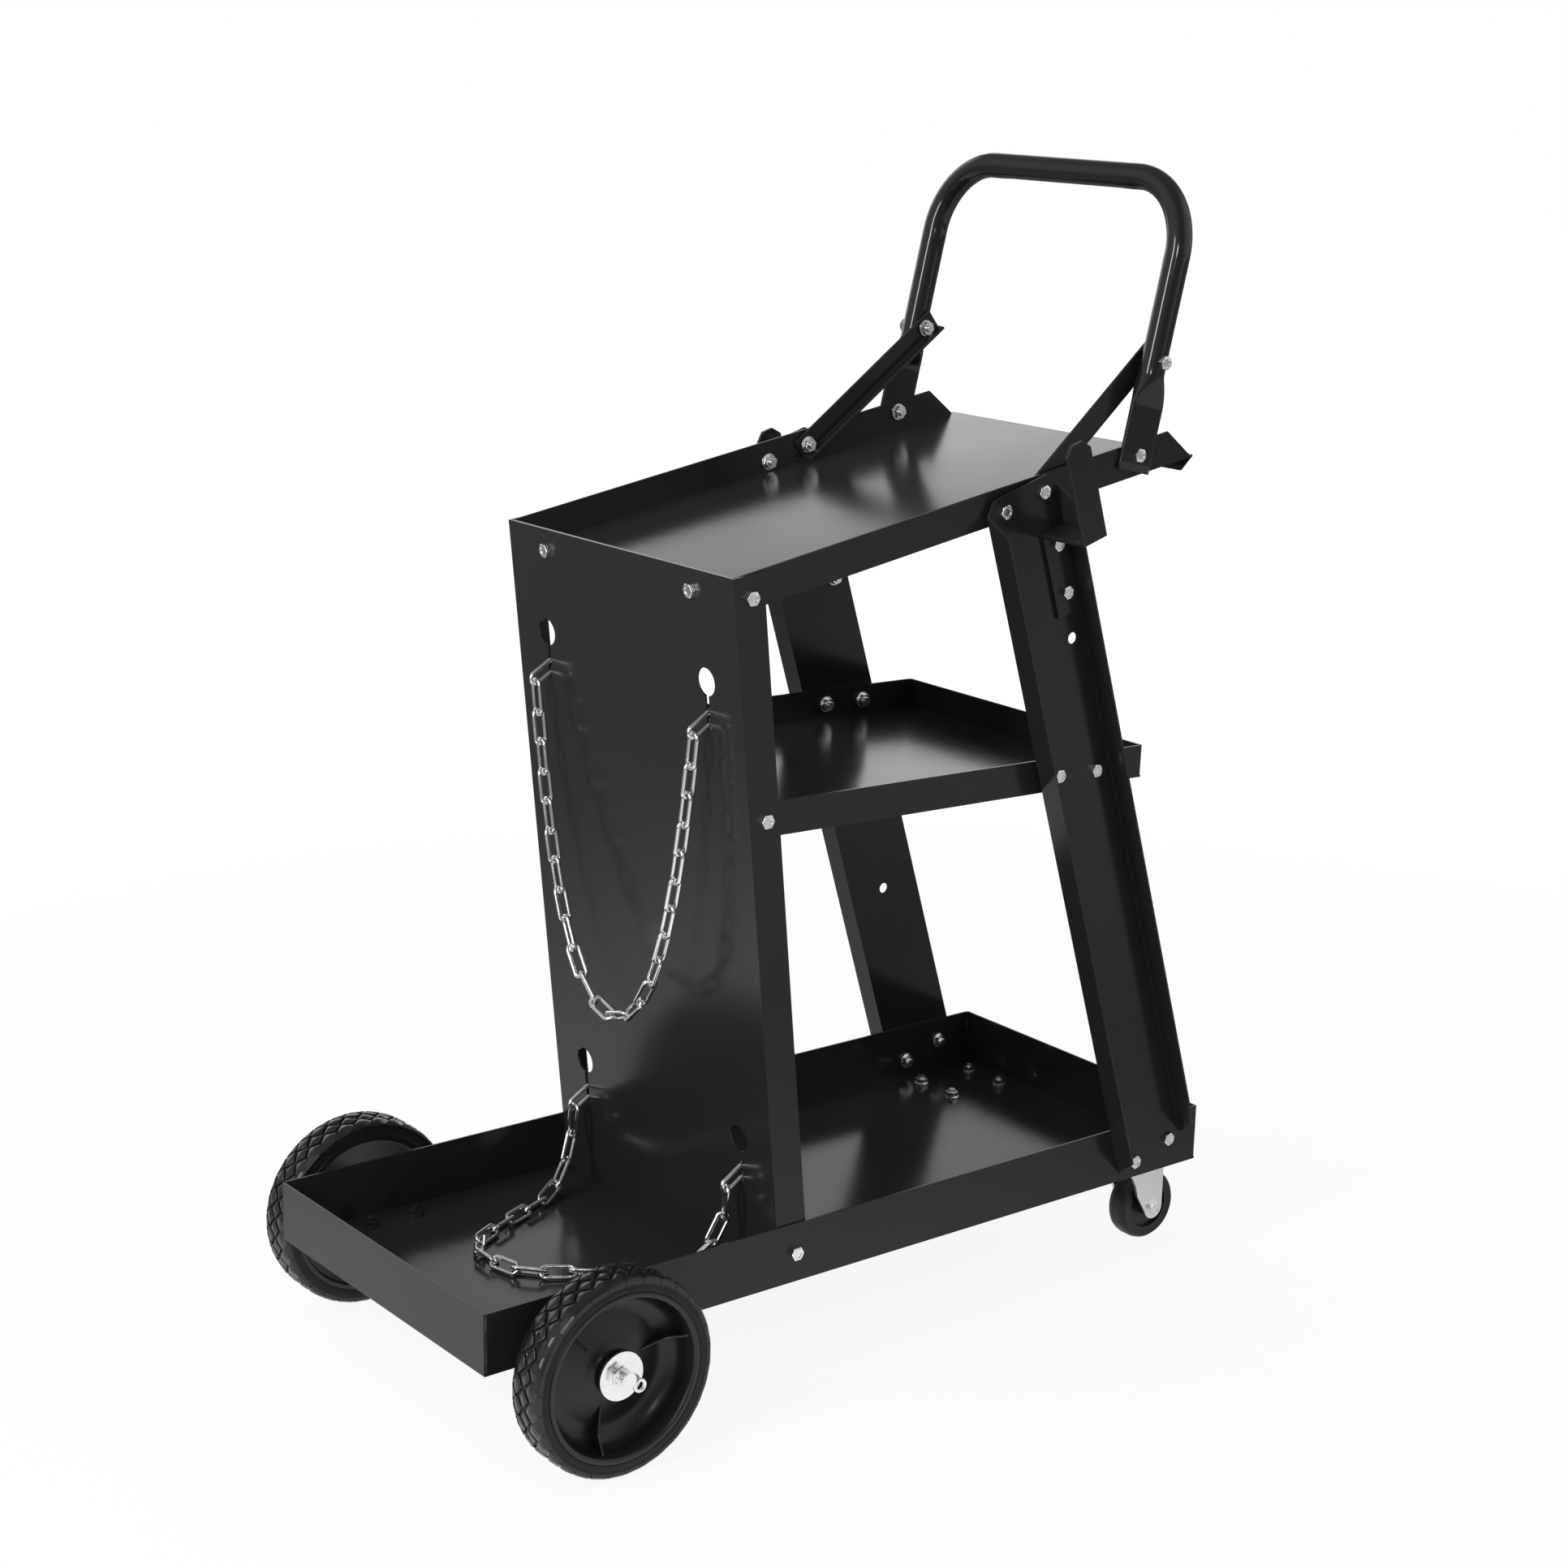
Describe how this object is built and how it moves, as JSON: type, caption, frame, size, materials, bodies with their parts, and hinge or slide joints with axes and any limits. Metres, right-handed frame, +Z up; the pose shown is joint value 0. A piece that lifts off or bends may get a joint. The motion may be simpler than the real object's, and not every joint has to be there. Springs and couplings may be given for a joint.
{
  "type": "welding cart",
  "caption": "Three-tier welding cart with a gas-cylinder platform, keyhole back plate with retaining chains, side hooks, push handle, fixed wheels and swivel casters.",
  "frame": {"origin": "middle of the footprint, on the floor", "axes": "+X towards the push handle, +Y across towards the right-hand wheels, +Z up"},
  "size_m": [0.717, 0.398, 0.8982],
  "materials": {
    "black_sheet": "semi-gloss black powder coat on folded sheet steel",
    "black_tube": "gloss black paint on steel tube",
    "hub_plastic": "satin black moulded plastic",
    "tyre_rubber": "black rubber with a block tread",
    "caster_rubber": "smooth black rubber",
    "caster_plastic": "black moulded plastic",
    "zinc_chain": "bright zinc plate on welded links",
    "zinc_steel": "bright zinc plate on fasteners, washers and casters"
  },
  "bodies": {
    "frame": {"bottom_tray": "black_sheet", "cylinder_plate": "black_sheet", "middle_shelf": "black_sheet", "top_shelf": "black_sheet", "left_leg": "black_sheet", "right_leg": "black_sheet", "left_hook": "black_sheet", "right_hook": "black_sheet", "handle": "black_tube", "left_brace": "black_sheet", "right_brace": "black_sheet", "axle": "zinc_steel", "left_axle_strap": "black_sheet", "right_axle_strap": "black_sheet", "axle_spacers": "zinc_steel", "inner_washers": "zinc_steel", "outer_washers": "zinc_steel", "left_split_pin": "zinc_steel", "right_split_pin": "zinc_steel", "left_caster_plate": "zinc_steel", "right_caster_plate": "zinc_steel", "left_kingpin": "zinc_steel", "right_kingpin": "zinc_steel", "caster_bolts": "zinc_steel", "caster_nuts": "zinc_steel", "strap_bolts": "zinc_steel", "strap_nuts": "zinc_steel", "plate_bolts": "zinc_steel", "plate_nuts": "zinc_steel", "leg_bolts": "zinc_steel", "leg_nuts": "zinc_steel", "hook_bolts": "zinc_steel", "hook_nuts": "zinc_steel", "handle_bolts": "zinc_steel", "handle_nuts": "zinc_steel", "chain_end_links": "zinc_chain"},
    "left_wheel": {"left_tyre": "tyre_rubber", "left_wheel_hub": "hub_plastic"},
    "right_wheel": {"right_tyre": "tyre_rubber", "right_wheel_hub": "hub_plastic"},
    "left_caster": {"left_caster_fork": "zinc_steel", "left_caster_bush": "zinc_steel", "left_caster_axle": "zinc_steel", "left_caster_nut": "zinc_steel"},
    "right_caster": {"right_caster_fork": "zinc_steel", "right_caster_bush": "zinc_steel", "right_caster_axle": "zinc_steel", "right_caster_nut": "zinc_steel"},
    "left_caster_wheel": {"left_caster_wheel": "caster_plastic", "left_caster_tyre": "caster_rubber"},
    "right_caster_wheel": {"right_caster_wheel": "caster_plastic", "right_caster_tyre": "caster_rubber"},
    "upper_chain": {"upper_chain": "zinc_chain"},
    "lower_chain": {"lower_chain": "zinc_chain"}
  },
  "joints": [
    {"name": "left_wheel_spin", "type": "hinge", "parent": "frame", "child": "left_wheel", "pos_m": [-0.273, -0.1785, 0.0762], "axis": [0, 1, 0], "continuous": true},
    {"name": "right_wheel_spin", "type": "hinge", "parent": "frame", "child": "right_wheel", "pos_m": [-0.273, 0.1785, 0.0762], "axis": [0, 1, 0], "continuous": true},
    {"name": "left_caster_swivel", "type": "hinge", "parent": "frame", "child": "left_caster", "pos_m": [0.2935, -0.098, 0.0622], "axis": [0, 0, 1], "continuous": true},
    {"name": "right_caster_swivel", "type": "hinge", "parent": "frame", "child": "right_caster", "pos_m": [0.2935, 0.098, 0.0622], "axis": [0, 0, 1], "continuous": true},
    {"name": "left_caster_wheel_spin", "type": "hinge", "parent": "left_caster", "child": "left_caster_wheel", "pos_m": [0.3285, -0.098, 0.03], "axis": [0, 1, 0], "continuous": true},
    {"name": "right_caster_wheel_spin", "type": "hinge", "parent": "right_caster", "child": "right_caster_wheel", "pos_m": [0.3285, 0.098, 0.03], "axis": [0, 1, 0], "continuous": true},
    {"name": "upper_chain_swing", "type": "hinge", "parent": "frame", "child": "upper_chain", "pos_m": [-0.13735, 0, 0.51855], "axis": [0, 1, 0], "range_deg": [0, 60]},
    {"name": "lower_chain_swing", "type": "hinge", "parent": "frame", "child": "lower_chain", "pos_m": [-0.1013, 0, 0.16355], "axis": [0, 1, 0], "range_deg": [0, 60]}
  ]
}
